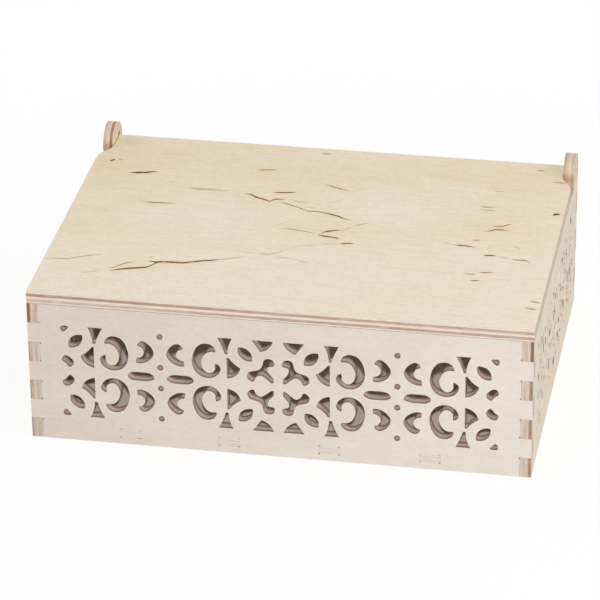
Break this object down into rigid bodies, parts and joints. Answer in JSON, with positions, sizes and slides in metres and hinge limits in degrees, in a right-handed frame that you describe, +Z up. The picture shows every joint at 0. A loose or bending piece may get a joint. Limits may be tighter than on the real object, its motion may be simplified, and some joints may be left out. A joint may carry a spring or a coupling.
{
  "type": "spice box",
  "caption": "Low rectangular plywood spice box with finger-jointed pierced walls, a raised bottom board and a flat lid that turns on pins between round ears.",
  "frame": {"origin": "on the ground under the middle of the box", "axes": "+X across the box to its right, -Y out of the pierced front, +Z up"},
  "size_m": [0.26, 0.197, 0.0931],
  "materials": {
    "wall_plywood": "bare sanded birch plywood, lightly browned cut edges",
    "board_plywood": "bare sanded birch plywood",
    "lid_plywood": "bare sanded birch plywood with dark streaks",
    "dowel": "bare birch dowel"
  },
  "bodies": {
    "box": {"front_panel": "wall_plywood", "back_panel": "wall_plywood", "left_side_panel": "wall_plywood", "right_side_panel": "wall_plywood", "bottom_panel": "board_plywood"},
    "lid": {"lid_panel": "lid_plywood", "left_hinge_pin": "dowel", "right_hinge_pin": "dowel"}
  },
  "joints": [
    {"name": "lid_hinge", "type": "hinge", "parent": "box", "child": "lid", "pos_m": [0, 0.0879, 0.08145], "axis": [-1, 0, 0], "range_deg": [0, 180]}
  ]
}
